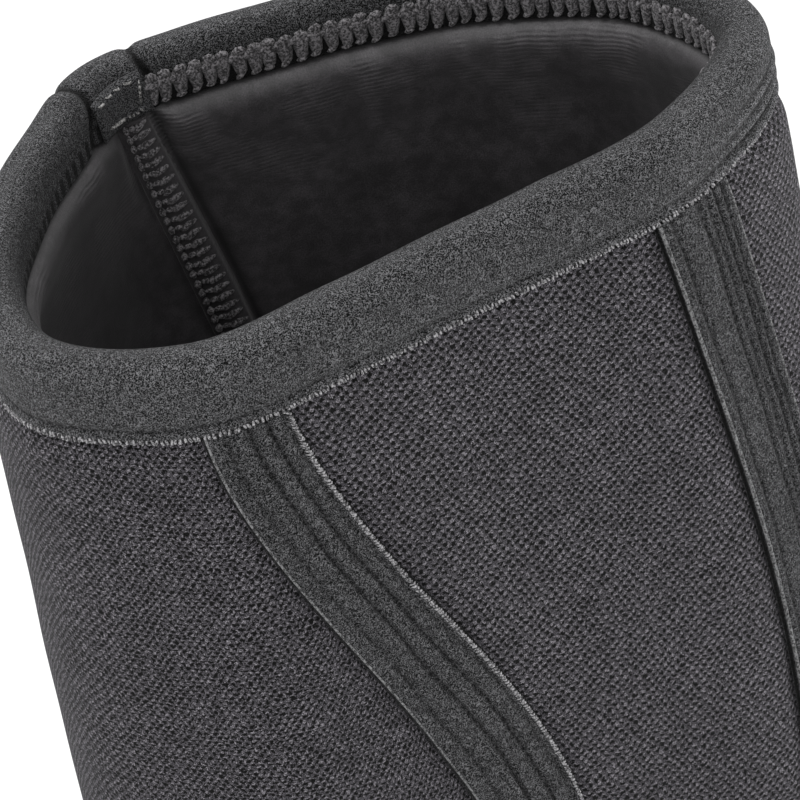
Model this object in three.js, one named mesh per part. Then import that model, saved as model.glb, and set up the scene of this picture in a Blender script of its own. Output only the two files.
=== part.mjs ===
// Thick foam-rubber knee sleeve: three curved wall panels, two seam tapes, an overlocked back seam
// and a bound rim at each end. It stands upright on its lower rim and is open right through.
// Millimetres, +Z up. The front faces -Y and the back +Y. The origin is on the surface that it stands
// on, under the middle of its overall width and depth.
import * as THREE from "three";

// Driving sizes of the sleeve
const HEIGHT = 280;
const UPPER_RADIUS = 60.5;
const LOWER_RADIUS = 53;
const KNEE_SWELL = 5.2;
const BODY_SWELL = 0.55;
const WALL = 7;
const SEAM_GAP = 0.3;
const CLEARANCE = 0.3;

// Driving sizes of the bindings, the tapes and the back seam
const BINDING_CLOTH = 0.8;
const OUTER_LEG = 15;
const INNER_LEG = 10.4;
const UPPER_FLAT = 0.8;
const LOWER_FLAT = 3;
const TAPE_CLOTH = 0.9;
const TAPE_EDGE = 0.45;
const OVERLOCK_WIDTH = 8;
const OVERLOCK_RISE = 1.6;
const OVERLOCK_EDGE = 0.7;

// Driving sizes of the creases beside the join of the upper binding
const CREASE_DISTANCE = 9;
const CREASE_WIDTH = 2.2;
const CREASE_REACH = 24;
const PUFF = 0.9;

// How finely the surfaces are divided
const PANEL_ROWS = 15;
const STRIP_ROWS = 24;
const ROUND_STEPS = 3;
const SECTION_SAMPLES = 720;
const TURN_WEIGHT = 0.55;
const LEAST_STATION_GAP = 0.4;
const TAPE_POINTS = [-1, -0.85, -0.45, 0, 0.45, 0.85, 1];
const OVERLOCK_POINTS = [-1, -0.7, 0, 0.7, 1];

// The outline of the wall's middle, seen from above: for each bearing, anticlockwise from +X, its
// distance from the axis at the upper and the lower rim, as a share of the mean radius there. It has
// turned from the lower to the upper outline by OUTLINE_LEVEL, a share of the height.
const OUTLINE_LEVEL = 0.55;
const OUTLINE = [
  { bearing: 0, upper: 1.19, lower: 1.08 },
  { bearing: 22.5, upper: 0.92, lower: 0.97 },
  { bearing: 45, upper: 0.73, lower: 0.88 },
  { bearing: 67.5, upper: 0.65, lower: 0.83 },
  { bearing: 90, upper: 0.67, lower: 0.82 },
  { bearing: 112.5, upper: 0.75, lower: 0.85 },
  { bearing: 135, upper: 0.75, lower: 0.88 },
  { bearing: 157.5, upper: 0.83, lower: 0.95 },
  { bearing: 180, upper: 1.0, lower: 1.04 },
  { bearing: 202.5, upper: 1.17, lower: 1.09 },
  { bearing: 225, upper: 1.11, lower: 1.05 },
  { bearing: 247.5, upper: 0.89, lower: 0.96 },
  { bearing: 270, upper: 0.82, lower: 0.92 },
  { bearing: 292.5, upper: 0.89, lower: 0.96 },
  { bearing: 315, upper: 1.12, lower: 1.07 },
  { bearing: 337.5, upper: 1.33, lower: 1.14 },
];

// The three seams: where each meets the rims, as a share of the girth anticlockwise from +X, how far
// it sweeps round the sleeve by mid height, and how late that sweep sets in.
const SEAMS = {
  back: { rim: 0.268, sweep: -0.059, ease: 1 },
  left: { rim: 0.592, sweep: 0.104, ease: 2 },
  right: { rim: 0.8225, sweep: 0.034, ease: 1 },
};

// The tapes over the two front seams: their widths at the rims and at mid height.
const TAPES = {
  left: { endWidth: 12, midWidth: 17.5 },
  right: { endWidth: 16, midWidth: 16 },
};

// The panels between the seams, with the columns that each is divided into.
const PANELS = [
  { name: "left_panel", from: SEAMS.back, to: SEAMS.left, columns: 20 },
  { name: "front_panel", from: SEAMS.left, to: SEAMS.right, columns: 13 },
  { name: "right_panel", from: SEAMS.right, to: SEAMS.back, columns: 24 },
];

// Sizes that follow from the driving ones: where cloth laid on the wall begins, how far the panels
// stop short of the rims, and the radii of the panels' rounded ends.
const SKIN_OFFSET = WALL / 2 + CLEARANCE;
const RIM_INSET = BINDING_CLOTH + CLEARANCE;
const PANEL_BOTTOM = RIM_INSET;
const PANEL_TOP = HEIGHT - RIM_INSET;
const LOWER_ROUND = (WALL - LOWER_FLAT) / 2;
const UPPER_ROUND = (WALL - UPPER_FLAT) / 2;

const COLOURS = {
  knit: 0x444246,
  binding: 0x434344,
  tape: 0x3f3f3f,
  overlock: 0x2f2e30,
};

// 0 at both rims and 1 at mid height.
function bow(level, ease) {
  return Math.pow(Math.sin(Math.PI * THREE.MathUtils.clamp(level, 0, 1)), ease);
}

// The outline of the wall's middle at one height, measured once and kept.
class Section {
  static kept = new Map();

  static at(z) {
    const key = z.toFixed(4);
    if (!Section.kept.has(key)) {
      Section.kept.set(key, new Section(z));
    }
    return Section.kept.get(key);
  }

  constructor(z) {
    const level = z / HEIGHT;
    const radius =
      LOWER_RADIUS + (UPPER_RADIUS - LOWER_RADIUS) * level + KNEE_SWELL * bow(level, 2);
    const upperShare = THREE.MathUtils.smoothstep(level, 0, OUTLINE_LEVEL);
    const fromRim = Math.min(z, HEIGHT - z);
    const swell = BODY_SWELL * THREE.MathUtils.smoothstep(fromRim, OUTER_LEG / 2, 2 * OUTER_LEG);
    const points = OUTLINE.map(({ bearing, upper, lower }) => {
      const reach = radius * THREE.MathUtils.lerp(lower, upper, upperShare) + swell;
      const angle = THREE.MathUtils.degToRad(bearing);
      return new THREE.Vector3(reach * Math.cos(angle), reach * Math.sin(angle), z);
    });
    this.curve = new THREE.CatmullRomCurve3(points, true, "catmullrom", 0.5);
    this.curve.arcLengthDivisions = SECTION_SAMPLES;
    this.girth = this.curve.getLength();
    this.measureTurns();
  }

  // Adds up how far the outline has run and turned, so that columns crowd where it bends.
  measureTurns() {
    this.measure = [0];
    let before = this.curve.getTangentAt(0);
    for (let i = 1; i <= SECTION_SAMPLES; i += 1) {
      const tangent = this.curve.getTangentAt(i / SECTION_SAMPLES);
      const turn = tangent.angleTo(before) / (2 * Math.PI);
      const step = (1 - TURN_WEIGHT) / SECTION_SAMPLES + TURN_WEIGHT * turn;
      this.measure.push(this.measure[i - 1] + step);
      before = tangent;
    }
  }

  measureAt(share) {
    const laps = Math.floor(share);
    const place = (share - laps) * SECTION_SAMPLES;
    const i = Math.min(Math.floor(place), SECTION_SAMPLES - 1);
    const inLap = THREE.MathUtils.lerp(this.measure[i], this.measure[i + 1], place - i);
    return laps * this.measure[SECTION_SAMPLES] + inLap;
  }

  shareAt(measure) {
    const lap = this.measure[SECTION_SAMPLES];
    const laps = Math.floor(measure / lap);
    const rest = measure - laps * lap;
    let i = 0;
    while (i < SECTION_SAMPLES - 1 && this.measure[i + 1] < rest) {
      i += 1;
    }
    const part = (rest - this.measure[i]) / (this.measure[i + 1] - this.measure[i]);
    return laps + (i + THREE.MathUtils.clamp(part, 0, 1)) / SECTION_SAMPLES;
  }

  // Shares of the girth from one place to another, closer together on the bends.
  spread(from, to, count) {
    const start = this.measureAt(from);
    const end = this.measureAt(to);
    return Array.from({ length: count + 1 }, (_, i) => {
      return this.shareAt(start + ((end - start) * i) / count);
    });
  }

  // A point at a share of the girth, moved out from the wall's middle and up.
  point(share, offset, rise = 0) {
    const place = ((share % 1) + 1) % 1;
    const tangent = this.curve.getTangentAt(place);
    const outward = new THREE.Vector3(tangent.y, -tangent.x, 0).normalize();
    const point = this.curve.getPointAt(place).addScaledVector(outward, offset);
    point.z += rise;
    return point;
  }
}

// The share of the girth where a seam's middle lies at one height.
function seamShare(seam, z) {
  return seam.rim + seam.sweep * bow(z / HEIGHT, seam.ease);
}

// A seam going round past +X starts a new lap, so a panel's end is always after its start.
function endShare(from, to, z) {
  const start = seamShare(from, z);
  const end = seamShare(to, z);
  return end > start ? end : end + 1;
}

// How much wider than its own width a seam's strip is when it is measured level.
function slant(seam, z) {
  const step = 1;
  const low = Math.max(z - step, 0);
  const high = Math.min(z + step, HEIGHT);
  const run = (seamShare(seam, high) - seamShare(seam, low)) * Section.at(z).girth;
  return Math.hypot(run, high - low) / (high - low);
}

// A closed solid from faces that index a list of points.
function solid(points, faces) {
  const geometry = new THREE.BufferGeometry().setFromPoints(points);
  geometry.setIndex(faces.flat());
  geometry.computeVertexNormals();
  return geometry;
}

// Two triangles between the same span of two neighbouring rows of points.
function quad(a, b, c, d) {
  return [
    [a, b, c],
    [a, c, d],
  ];
}

// A strip with thickness: each row holds its points on the outer face and those on the inner one.
// Its two long edges are split the same way, so that neighbouring strips keep an even gap.
function stripSolid(rows) {
  const across = rows[0].outer.length;
  const ring = 2 * across;
  const points = rows.flatMap((row) => [...row.outer, ...[...row.inner].reverse()]);
  const faces = [];
  for (let i = 0; i < rows.length - 1; i += 1) {
    const low = i * ring;
    const high = low + ring;
    for (let j = 0; j < ring - 1; j += 1) {
      faces.push(...quad(low + j, low + j + 1, high + j + 1, high + j));
    }
    faces.push(...quad(low, high, high + ring - 1, low + ring - 1));
  }
  for (let j = 0; j < across - 1; j += 1) {
    const top = (rows.length - 1) * ring;
    faces.push(...quad(j + 1, j, ring - 1 - j, ring - 2 - j));
    faces.push(...quad(top + j, top + j + 1, top + ring - 2 - j, top + ring - 1 - j));
  }
  return solid(points, faces);
}

// A hoop: the same closed profile at each station, and the last station joined to the first.
function hoopSolid(stations) {
  const ring = stations[0].length;
  const faces = [];
  stations.forEach((_, i) => {
    const here = i * ring;
    const there = ((i + 1) % stations.length) * ring;
    for (let j = 0; j < ring; j += 1) {
      const next = (j + 1) % ring;
      faces.push(...quad(here + j, there + j, there + next, here + next));
    }
  });
  return solid(stations.flat(), faces);
}

// Half the wall's thickness near a rounded end, from the distance to that end.
function roundedHalf(distance, radius) {
  const into = Math.max(radius - distance, 0);
  return WALL / 2 - radius + Math.sqrt(Math.max(radius * radius - into * into, 0));
}

// Heights of a panel's rows: close at its two rounded ends and wide between them.
function panelRows() {
  const rows = [];
  for (let i = 0; i < ROUND_STEPS; i += 1) {
    const distance = LOWER_ROUND * (1 - Math.cos((Math.PI / 2) * (i / ROUND_STEPS)));
    rows.push({ z: PANEL_BOTTOM + distance, half: roundedHalf(distance, LOWER_ROUND) });
  }
  const low = PANEL_BOTTOM + LOWER_ROUND;
  const high = PANEL_TOP - UPPER_ROUND;
  for (let i = 0; i <= PANEL_ROWS; i += 1) {
    rows.push({ z: THREE.MathUtils.lerp(low, high, i / PANEL_ROWS), half: WALL / 2 });
  }
  for (let i = ROUND_STEPS - 1; i >= 0; i -= 1) {
    const distance = UPPER_ROUND * (1 - Math.cos((Math.PI / 2) * (i / ROUND_STEPS)));
    rows.push({ z: PANEL_TOP - distance, half: roundedHalf(distance, UPPER_ROUND) });
  }
  return rows;
}

function panelGeometry({ from, to, columns }) {
  const rows = panelRows().map(({ z, half }) => {
    const section = Section.at(z);
    const gap = (SEAM_GAP / 2) * (1 / section.girth);
    const start = seamShare(from, z) + gap * slant(from, z);
    const end = endShare(from, to, z) - gap * slant(to, z);
    const shares = section.spread(start, end, columns);
    return {
      outer: shares.map((share) => section.point(share, half)),
      inner: shares.map((share) => section.point(share, -half)),
    };
  });
  return stripSolid(rows);
}

// One skin of a binding in section: out from the wall's middle, and down from the rim's end.
function bindingSkin(half, inset, flat) {
  const radius = half - flat / 2;
  const skin = [{ out: half, down: OUTER_LEG, outward: 1, upward: 0 }];
  [1, -1].forEach((side) => {
    for (let i = 0; i <= ROUND_STEPS; i += 1) {
      const turn = (Math.PI / 2) * (side > 0 ? i / ROUND_STEPS : 1 - i / ROUND_STEPS);
      skin.push({
        out: side * (half - radius + radius * Math.cos(turn)),
        down: inset + radius * (1 - Math.sin(turn)),
        outward: side * Math.cos(turn),
        upward: Math.sin(turn),
      });
    }
  });
  skin.push({ out: -half, down: INNER_LEG, outward: -1, upward: 0 });
  return skin;
}

// How far the upper binding stands off near its join: puffed up between and beside two creases.
function puffAt(distance) {
  const away = Math.abs(distance);
  const crease = 1 - Math.exp(-Math.pow((away - CREASE_DISTANCE) / CREASE_WIDTH, 2));
  const fade = 1 - THREE.MathUtils.smoothstep(away, CREASE_DISTANCE, CREASE_REACH);
  return PUFF * crease * fade;
}

// Where the profile of a binding is set down: at the columns of the panels that it holds, and
// closer together at the creases.
function bindingStations(z, creased) {
  const section = Section.at(z);
  const shares = PANELS.flatMap(({ from, to, columns }) => {
    return section.spread(seamShare(from, z), endShare(from, to, z), columns).slice(1);
  });
  if (creased) {
    [-1, 1].forEach((side) => {
      [-1, 0, 1].forEach((step) => {
        const distance = side * (CREASE_DISTANCE + step * CREASE_WIDTH);
        shares.push(SEAMS.back.rim + distance / section.girth);
      });
    });
  }
  const least = LEAST_STATION_GAP / section.girth;
  const sorted = shares.map((share) => share % 1).sort((a, b) => a - b);
  return sorted.filter((share, i) => i === 0 || share - sorted[i - 1] > least);
}

function bindingGeometry(atTop) {
  const flat = atTop ? UPPER_FLAT : LOWER_FLAT;
  const outerSkin = bindingSkin(SKIN_OFFSET + BINDING_CLOTH, 0, flat);
  const innerSkin = bindingSkin(SKIN_OFFSET, BINDING_CLOTH, flat);
  const profile = [...outerSkin, ...innerSkin.reverse()];
  const rim = atTop ? HEIGHT : 0;
  const stations = bindingStations(rim, atTop).map((share) => {
    const distance = (share - SEAMS.back.rim) * Section.at(rim).girth;
    const puff = atTop ? puffAt(distance) : 0;
    const ring = profile.map(({ out, down, outward, upward }) => {
      const z = atTop ? HEIGHT - down : down;
      const rise = atTop ? puff * upward : 0;
      return Section.at(z).point(share, out + puff * outward, rise);
    });
    return atTop ? ring : ring.reverse();
  });
  return hoopSolid(stations);
}

// A strip along a seam: its half-width, and how far its two faces stand off the wall's middle.
function seamStrip(seam, bottom, top, halfWidth, faces) {
  const rows = Array.from({ length: STRIP_ROWS + 1 }, (_, i) => {
    const z = THREE.MathUtils.lerp(bottom, top, i / STRIP_ROWS);
    const section = Section.at(z);
    const reach = (halfWidth(z / HEIGHT) * slant(seam, z)) / section.girth;
    const middle = seamShare(seam, z);
    return {
      outer: faces.map(({ across, outer }) => section.point(middle + across * reach, outer)),
      inner: faces.map(({ across, inner }) => section.point(middle + across * reach, inner)),
    };
  });
  return stripSolid(rows);
}

function tapeGeometry(seam, { endWidth, midWidth }) {
  const faces = TAPE_POINTS.map((across) => {
    const thickness = Math.abs(across) === 1 ? TAPE_EDGE : TAPE_CLOTH;
    return { across, outer: SKIN_OFFSET + thickness, inner: SKIN_OFFSET };
  });
  const halfWidth = (level) => THREE.MathUtils.lerp(endWidth, midWidth, bow(level, 1)) / 2;
  const bottom = OUTER_LEG + CLEARANCE;
  return seamStrip(seam, bottom, HEIGHT - bottom, halfWidth, faces);
}

function overlockGeometry() {
  const faces = OVERLOCK_POINTS.map((across) => {
    const thickness = Math.abs(across) === 1 ? OVERLOCK_EDGE : OVERLOCK_RISE;
    return { across, outer: -SKIN_OFFSET, inner: -SKIN_OFFSET - thickness };
  });
  const bottom = INNER_LEG + CLEARANCE;
  return seamStrip(SEAMS.back, bottom, HEIGHT - bottom, () => OVERLOCK_WIDTH / 2, faces);
}

function addPiece(group, name, geometry, colour, roughness) {
  const material = new THREE.MeshStandardMaterial({ color: colour, roughness, metalness: 0 });
  const mesh = new THREE.Mesh(geometry, material);
  mesh.name = name;
  group.add(mesh);
}

const pieces = new THREE.Group();
PANELS.forEach((panel) => {
  addPiece(pieces, panel.name, panelGeometry(panel), COLOURS.knit, 0.9);
});
addPiece(pieces, "upper_binding", bindingGeometry(true), COLOURS.binding, 0.95);
addPiece(pieces, "lower_binding", bindingGeometry(false), COLOURS.binding, 0.95);
addPiece(pieces, "left_seam_tape", tapeGeometry(SEAMS.left, TAPES.left), COLOURS.tape, 0.95);
addPiece(pieces, "right_seam_tape", tapeGeometry(SEAMS.right, TAPES.right), COLOURS.tape, 0.95);
addPiece(pieces, "back_seam", overlockGeometry(), COLOURS.overlock, 0.9);

const middle = new THREE.Box3().setFromObject(pieces).getCenter(new THREE.Vector3());
pieces.position.set(-middle.x, -middle.y, 0);
const sleeve = new THREE.Group();
sleeve.name = "knee_sleeve";
sleeve.add(pieces);

export default sleeve;
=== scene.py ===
"""Knee sleeve: knit-faced walls, bound rims, taped and overlocked seams and their stitches, built
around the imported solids. Shapes are worked out in millimetres and set down in metres."""

import math

import bpy
import numpy as np
from bpy.props import FloatProperty, FloatVectorProperty, PointerProperty
from bpy.types import Operator, Panel, PropertyGroup
from mathutils import Matrix


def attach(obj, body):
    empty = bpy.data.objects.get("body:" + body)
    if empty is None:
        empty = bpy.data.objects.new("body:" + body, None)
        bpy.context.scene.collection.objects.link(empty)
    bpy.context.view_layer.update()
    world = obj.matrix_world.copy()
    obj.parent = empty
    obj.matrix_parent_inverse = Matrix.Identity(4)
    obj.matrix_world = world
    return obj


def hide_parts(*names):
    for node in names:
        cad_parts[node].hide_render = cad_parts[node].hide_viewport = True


bl_info = {
    "name": "Knee sleeve",
    "version": (1, 0, 0),
    "blender": (4, 5, 0),
    "location": "3D View > Sidebar > Sleeve",
    "description": "Builds the cloth and the stitching of a foam-rubber knee sleeve",
    "category": "Add Mesh",
}

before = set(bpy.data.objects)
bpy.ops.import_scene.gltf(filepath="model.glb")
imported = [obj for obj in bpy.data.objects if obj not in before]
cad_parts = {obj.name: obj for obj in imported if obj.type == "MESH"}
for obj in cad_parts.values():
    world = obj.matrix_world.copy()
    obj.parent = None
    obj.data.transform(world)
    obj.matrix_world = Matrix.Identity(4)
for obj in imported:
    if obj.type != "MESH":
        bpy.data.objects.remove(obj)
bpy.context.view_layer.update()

# Sizes of the solids that the cloth follows, in millimetres
HEIGHT = 280.0
UPPER_RADIUS = 60.5
LOWER_RADIUS = 53.0
KNEE_SWELL = 5.2
BODY_SWELL = 0.55
WALL = 7.0
SEAM_GAP = 0.3
CLEARANCE = 0.3
BINDING_CLOTH = 0.8
OUTER_LEG = 15.0
INNER_LEG = 10.4
UPPER_FLAT = 0.8
LOWER_FLAT = 3.0
OUTLINE_LEVEL = 0.55
SKIN = WALL / 2 + CLEARANCE
BINDING_SKIN = SKIN + BINDING_CLOTH
RIM_INSET = BINDING_CLOTH + CLEARANCE
# The sewn groove's distance from a binding's outer edge, and the pitch of the folds along it
GROOVE = 2.3
FOLD_PITCH = 3.0
# Half the width of the back seam's band, and the size of the lapped join of the binding
BAND_HALF = 4.0
JOIN_LENGTH = 16.2
JOIN_WIDTH = 8.6

# Where the sleeve's axis stands in the frame
AXIS = np.array([-5.3182, 4.0184])

# The wall's middle seen from above, every 22.5 degrees from +X: shares of the mean radius
UPPER_SHARES = np.array([1.19, 0.92, 0.73, 0.65, 0.67, 0.75, 0.75, 0.83,
                         1.0, 1.17, 1.11, 0.89, 0.82, 0.89, 1.12, 1.33])
LOWER_SHARES = np.array([1.08, 0.97, 0.88, 0.83, 0.82, 0.85, 0.88, 0.95,
                         1.04, 1.09, 1.05, 0.96, 0.92, 0.96, 1.07, 1.14])

# The seams: the share of the girth at the rims, the sweep by mid height, how late it sets in
SEAMS = {
    "back": (0.268, -0.059, 1),
    "left": (0.592, 0.104, 2),
    "right": (0.8225, 0.034, 1),
}
# The tapes: widths at the rims and at mid height, and the side on which the heavier edge lies
TAPES = {"left": (12.0, 17.5, 1), "right": (16.0, 16.0, -1)}
GUTTER = 0.5
# The sewn lines along each tape: how far across from the heavier edge, how deep
SEWN_LINES = {
    "left": ((0.80, 0.5), (0.40, 1.0), (-0.06, 1.0), (-0.6, 0.6)),
    "right": ((0.70, 0.8), (0.0, 0.9), (-0.25, 0.7), (-0.52, 1.0), (-0.76, 1.0)),
}

TABLE_SHARES = 1440
HEIGHTS = np.arange(0.0, HEIGHT + 1)


def smooth(value, low, high):
    """A smooth step: 0 below low, 1 above high, and 3t2 - 2t3 between them."""
    t = np.clip((np.asarray(value, float) - low) / (high - low), 0, 1)
    return t * t * (3 - 2 * t)


def bump_at(value, middle, width):
    """A bell: 1 at the middle, falling off as exp of minus the squared distance over the width."""
    return np.exp(-(((value - middle) / width) ** 2))


def outline_table():
    """The outline at every height and share. At each height the radius is a straight taper plus a
    squared sine swell. Sixteen points at that radius times their share are joined by a closed
    Catmull-Rom curve, which is then divided evenly by its length."""
    level = HEIGHTS / HEIGHT
    radius = LOWER_RADIUS + (UPPER_RADIUS - LOWER_RADIUS) * level
    radius += KNEE_SWELL * np.sin(np.pi * level) ** 2
    upper = smooth(level, 0, OUTLINE_LEVEL)[:, None]
    swell = BODY_SWELL * smooth(np.minimum(HEIGHTS, HEIGHT - HEIGHTS), OUTER_LEG / 2, 2 * OUTER_LEG)
    shares = LOWER_SHARES + (UPPER_SHARES - LOWER_SHARES) * upper
    reach = radius[:, None] * shares + swell[:, None]
    bearing = np.radians(np.arange(16) * 22.5)
    corner = np.stack([reach * np.cos(bearing), reach * np.sin(bearing)], -1)
    turn = np.arange(2 * TABLE_SHARES) / (2 * TABLE_SHARES) * 16
    index = turn.astype(int)
    f = (turn - index)[None, :, None]
    a, b, c, d = (corner[:, (index + k) % 16] for k in (-1, 0, 1, 2))
    first, second = (c - a) / 2, (d - b) / 2
    curve = (2 * b - 2 * c + first + second) * f**3
    curve = curve + (3 * c - 3 * b - 2 * first - second) * f**2 + first * f + b
    curve = np.concatenate([curve, curve[:, :1]], 1)
    steps = np.linalg.norm(np.diff(curve, axis=1), axis=-1)
    run = np.concatenate([np.zeros((len(HEIGHTS), 1)), np.cumsum(steps, 1)], 1)
    even = np.arange(TABLE_SHARES + 1) / TABLE_SHARES
    table = np.stack([
        np.stack([np.interp(even * run[k, -1], run[k], curve[k, :, axis]) for axis in (0, 1)], -1)
        for k in range(len(HEIGHTS))
    ])
    return table, run[:, -1]


OUTLINE, GIRTHS = outline_table()
AHEAD = np.roll(OUTLINE[:, :-1], -1, 1) - np.roll(OUTLINE[:, :-1], 1, 1)
AHEAD = np.concatenate([AHEAD, AHEAD[:, :1]], 1)
AHEAD /= np.linalg.norm(AHEAD, axis=-1, keepdims=True)
OUTWARD = np.stack([AHEAD[..., 1], -AHEAD[..., 0]], -1)


def look_up(table, share, height):
    """A value between the four nearest entries of a table, weighted by nearness."""
    share, height = np.broadcast_arrays(np.mod(share, 1.0), np.clip(height, 0, HEIGHT))
    along = share * TABLE_SHARES
    i = np.minimum(along.astype(int), TABLE_SHARES - 1)
    k = np.minimum(height.astype(int), len(HEIGHTS) - 2)
    f, h = (along - i)[..., None], (height - k)[..., None]
    low = table[k, i] * (1 - f) + table[k, i + 1] * f
    high = table[k + 1, i] * (1 - f) + table[k + 1, i + 1] * f
    return low * (1 - h) + high * h


def girth(height):
    """The length of the wall's middle round the sleeve at a height."""
    return np.interp(height, HEIGHTS, GIRTHS)


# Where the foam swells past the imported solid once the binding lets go: the share of the girth,
# how far round it reaches, and by how many millimetres
FULLNESS = ((0.441, 0.085, 2.0), (0.915, 0.05, 1.9))


def fullness(share, height):
    """The foam's swell below the bindings: a bell round the sleeve at each turned side, rising
    over a few millimetres below the binding's edge."""
    from_rim = np.minimum(height, HEIGHT - height)
    total = np.zeros(np.broadcast(share, height).shape)
    for middle, width, most in FULLNESS:
        total += most * bump_at((share - middle + 0.5) % 1.0 - 0.5, 0, width)
    return total * smooth(from_rim, OUTER_LEG - 1.5, OUTER_LEG + 6)


def place(share, height, out, rise=0.0):
    """Points on the sleeve: the outline at that share and height, moved straight out by out and
    by the foam's swell, and then up by rise."""
    share, height, out, rise = np.broadcast_arrays(share, height, out, rise)
    out = out + fullness(share, height)
    normal = look_up(OUTWARD, share, height)
    normal = normal / np.linalg.norm(normal, axis=-1, keepdims=True)
    level = look_up(OUTLINE, share, height) + normal * out[..., None] + AXIS
    return np.concatenate([level, (height + rise)[..., None]], -1)


def seam_share(seam, height):
    """The rim share plus the sweep times a sine over the height, raised to the seam's power."""
    rim, sweep, power = SEAMS[seam]
    return rim + sweep * np.sin(np.pi * np.clip(height / HEIGHT, 0, 1)) ** power


def seam_run(seam, height):
    """How far round a seam runs over the 2 mm of height about a point."""
    return (seam_share(seam, height + 1) - seam_share(seam, height - 1)) * girth(height)


def seam_slant(seam, height):
    """How much longer a level line across a slanted strip is than the strip is wide."""
    return np.hypot(seam_run(seam, height), 2.0) / 2.0


def seam_tilt(seam, height):
    """The angle by which a shape leans to stand along a seam."""
    return -np.arctan(seam_run(seam, height) / 2)


def beside_seam(seam, height, across):
    """The share of the girth at a distance across from a seam, measured square to it."""
    return seam_share(seam, height) + across * seam_slant(seam, height) / girth(height)


def round_from_back(share, rim):
    """Millimetres round a rim from the back seam, to the left below 0."""
    return ((share - SEAMS["back"][0] + 0.5) % 1 - 0.5) * girth(rim)


def tape_half(side, height):
    """Half the width of a tape, which swells from its end width to its mid width as a sine."""
    end, middle, _ = TAPES[side]
    return (end + (middle - end) * np.sin(np.pi * np.clip(height / HEIGHT, 0, 1))) / 2


def waves(u, v, seed, longest, count=7):
    """Low rolling waves between -1 and 1: a sum of sines in seeded directions and lengths."""
    rng = np.random.default_rng(seed)
    total = np.zeros(np.broadcast(u, v).shape)
    for _ in range(count):
        angle, phase = rng.uniform(0, np.pi), rng.uniform(0, 2 * np.pi)
        pitch = longest * rng.uniform(0.35, 1.0)
        total += np.sin(2 * np.pi * (u * np.cos(angle) + v * np.sin(angle)) / pitch + phase)
    return total / count


def binding_slack(around):
    """How far a binding's outer edge strays up or down, in millimetres: low waves round it."""
    return 0.25 * waves(around, 0 * around, 17, 40)


def grid_faces(rows, columns, close_rows=False, close_columns=False):
    """The quads of a grid of points, closed round either way if asked."""
    r = np.arange(rows if close_rows else rows - 1)[:, None]
    c = np.arange(columns if close_columns else columns - 1)[None]
    ahead, above = (c + 1) % columns, (r + 1) % rows
    corners = [r * columns + c, r * columns + ahead, above * columns + ahead, above * columns + c]
    return np.stack(np.broadcast_arrays(*corners), -1).reshape(-1, 4)


def both_faces(outer, inner):
    """Two grids over the same rows as one, whose columns run over the outer face and back over
    the inner one."""
    return np.concatenate([outer, inner[:, ::-1]], 1)


def strip_faces(rows, columns):
    """The quads of a closed strip: round both faces of every row, and across both ends."""
    ring = 2 * columns
    j = np.arange(columns - 1)
    first = np.stack([j + 1, j, ring - 1 - j, ring - 2 - j], -1)
    last = (rows - 1) * ring + np.stack([j, j + 1, ring - 2 - j, ring - 1 - j], -1)
    return np.concatenate([grid_faces(rows, ring, close_columns=True), first, last])


def add_piece(name, points, faces, materials, flat=None, face_slots=None, fields=None):
    """A mesh object from points in millimetres and quads that close it. Faces are turned round if
    they enclose a negative volume."""
    points = np.asarray(points, float).reshape(-1, 3)
    faces = np.asarray(faces).reshape(-1, 4)
    a, b, c, d = (points[faces[:, k]] for k in range(4))
    volume = (a * np.cross(b, c)).sum() + (a * np.cross(c, d)).sum()
    if volume < 0:
        faces = faces[:, ::-1]
    mesh = bpy.data.meshes.new(name)
    mesh.vertices.add(len(points))
    mesh.vertices.foreach_set("co", (points * 0.001).astype(np.float32).ravel())
    mesh.loops.add(faces.size)
    mesh.loops.foreach_set("vertex_index", faces.ravel().astype(np.int32))
    mesh.polygons.add(len(faces))
    mesh.polygons.foreach_set("loop_start", np.arange(0, faces.size, 4, dtype=np.int32))
    mesh.polygons.foreach_set("use_smooth", np.ones(len(faces), bool))
    if face_slots is not None:
        mesh.polygons.foreach_set("material_index", np.asarray(face_slots, np.int32))
    mesh.update(calc_edges=True)
    if mesh.validate():
        raise RuntimeError(f"{name} has faces that don't close")
    if flat is not None:
        layer = mesh.uv_layers.new(name="flat_mm")
        values = np.asarray(flat, float).reshape(-1, 2)[faces.ravel()]
        layer.data.foreach_set("uv", values.astype(np.float32).ravel())
    for key, values in (fields or {}).items():
        field = mesh.attributes.new(key, "FLOAT", "POINT")
        field.data.foreach_set("value", np.asarray(values, np.float32).ravel())
    piece = bpy.data.objects.new(name, mesh)
    bpy.context.scene.collection.objects.link(piece)
    for material in materials:
        mesh.materials.append(material)
    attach(piece, "root")
    return piece


def linear(code):
    """An sRGB hex colour such as 0x444246 as linear red, green and blue."""
    parts = [((code >> shift) & 255) / 255 for shift in (16, 8, 0)]
    return [p / 12.92 if p <= 0.04045 else ((p + 0.055) / 1.055) ** 2.4 for p in parts]


# Settings that many nodes share
PLUS = {"operation": "ADD"}
MINUS = {"operation": "SUBTRACT"}
TIMES = {"operation": "MULTIPLY"}
TIMES_PLUS = {"operation": "MULTIPLY_ADD"}
SCALED = {"operation": "SCALE"}
COSINE = {"operation": "COSINE"}
SOFT_STEP = {"interpolation_type": "SMOOTHSTEP"}
MIXED = {"data_type": "RGBA", "out": 2}


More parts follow.
